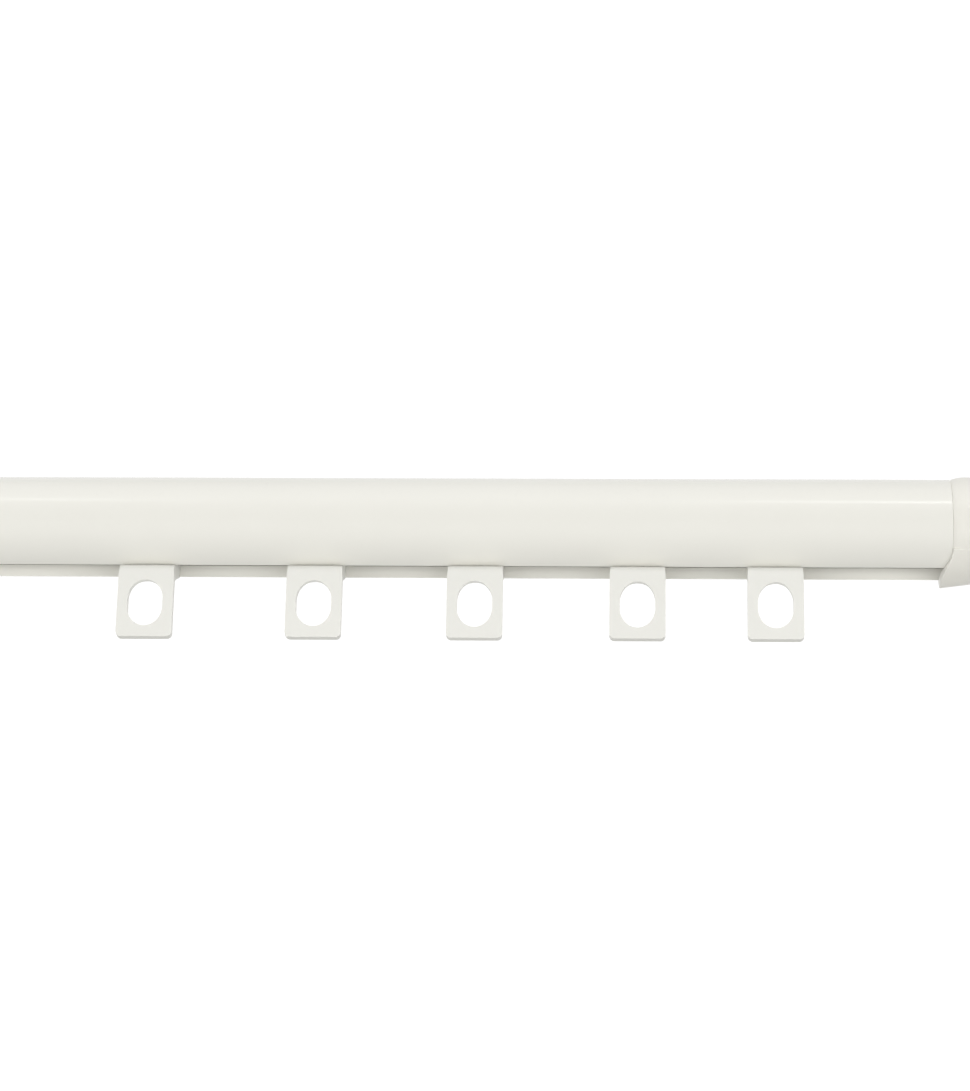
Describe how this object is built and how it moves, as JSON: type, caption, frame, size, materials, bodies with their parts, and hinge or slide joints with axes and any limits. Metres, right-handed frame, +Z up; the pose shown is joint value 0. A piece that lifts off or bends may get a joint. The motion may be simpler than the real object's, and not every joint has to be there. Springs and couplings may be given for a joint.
{
  "type": "curtain rod with brackets",
  "caption": "Slotted round curtain rod with eyelet gliders that slide along its underside, end caps and two wall brackets that hold it from behind.",
  "frame": {"origin": "on the wall plane, level with the tube's axis, at the middle of the tube's length", "axes": "+X along the rod to the right as seen from the room, -Y into the room, +Y into the wall, +Z up"},
  "size_m": [1.222, 0.125, 0.0642],
  "materials": {
    "white_gloss_paint": "gloss powder coat, warm white",
    "white_glider_plastic": "moulded, soft sheen, warm white",
    "white_cap_plastic": "moulded, soft gloss, warm white",
    "zinc_steel": "bright zinc plate",
    "grey_nylon": "moulded nylon, light grey"
  },
  "bodies": {
    "rod": {"slotted_tube": "white_gloss_paint", "end_cap_right": "white_cap_plastic", "end_cap_left": "white_cap_plastic", "left_wall_plate": "white_gloss_paint", "left_cover": "white_gloss_paint", "left_stem": "white_gloss_paint", "left_saddle": "white_gloss_paint", "left_arm_bolt": "zinc_steel", "left_tube_screw": "zinc_steel", "left_stem_screw": "zinc_steel", "left_upper_wall_screw": "zinc_steel", "left_upper_wall_plug": "grey_nylon", "left_lower_wall_screw": "zinc_steel", "left_lower_wall_plug": "grey_nylon", "right_wall_plate": "white_gloss_paint", "right_cover": "white_gloss_paint", "right_stem": "white_gloss_paint", "right_saddle": "white_gloss_paint", "right_arm_bolt": "zinc_steel", "right_tube_screw": "zinc_steel", "right_stem_screw": "zinc_steel", "right_upper_wall_screw": "zinc_steel", "right_upper_wall_plug": "grey_nylon", "right_lower_wall_screw": "zinc_steel", "right_lower_wall_plug": "grey_nylon"},
    "glider_01": {"glider_01": "white_glider_plastic"},
    "glider_02": {"glider_02": "white_glider_plastic"},
    "glider_03": {"glider_03": "white_glider_plastic"},
    "glider_04": {"glider_04": "white_glider_plastic"},
    "glider_05": {"glider_05": "white_glider_plastic"},
    "glider_06": {"glider_06": "white_glider_plastic"},
    "glider_07": {"glider_07": "white_glider_plastic"},
    "glider_08": {"glider_08": "white_glider_plastic"},
    "glider_09": {"glider_09": "white_glider_plastic"},
    "glider_10": {"glider_10": "white_glider_plastic"},
    "glider_11": {"glider_11": "white_glider_plastic"},
    "glider_12": {"glider_12": "white_glider_plastic"}
  },
  "joints": [
    {"name": "glider_01_slide", "type": "slide", "parent": "rod", "child": "glider_01", "axis": [1, 0, 0], "range_m": [-0.0664, 0.054]},
    {"name": "glider_02_slide", "type": "slide", "parent": "rod", "child": "glider_02", "axis": [1, 0, 0], "range_m": [-0.054, 0.054]},
    {"name": "glider_03_slide", "type": "slide", "parent": "rod", "child": "glider_03", "axis": [1, 0, 0], "range_m": [-0.054, 0.054]},
    {"name": "glider_04_slide", "type": "slide", "parent": "rod", "child": "glider_04", "axis": [1, 0, 0], "range_m": [-0.054, 0.054]},
    {"name": "glider_05_slide", "type": "slide", "parent": "rod", "child": "glider_05", "axis": [1, 0, 0], "range_m": [-0.054, 0.054]},
    {"name": "glider_06_slide", "type": "slide", "parent": "rod", "child": "glider_06", "axis": [1, 0, 0], "range_m": [-0.054, 0.054]},
    {"name": "glider_07_slide", "type": "slide", "parent": "rod", "child": "glider_07", "axis": [1, 0, 0], "range_m": [-0.054, 0.054]},
    {"name": "glider_08_slide", "type": "slide", "parent": "rod", "child": "glider_08", "axis": [1, 0, 0], "range_m": [-0.054, 0.0138]},
    {"name": "glider_09_slide", "type": "slide", "parent": "rod", "child": "glider_09", "axis": [1, 0, 0], "range_m": [-0.0138, 0.0127]},
    {"name": "glider_10_slide", "type": "slide", "parent": "rod", "child": "glider_10", "axis": [1, 0, 0], "range_m": [-0.0127, 0.0129]},
    {"name": "glider_11_slide", "type": "slide", "parent": "rod", "child": "glider_11", "axis": [1, 0, 0], "range_m": [-0.0129, 0.0094]},
    {"name": "glider_12_slide", "type": "slide", "parent": "rod", "child": "glider_12", "axis": [1, 0, 0], "range_m": [-0.0094, 0.0249]}
  ]
}
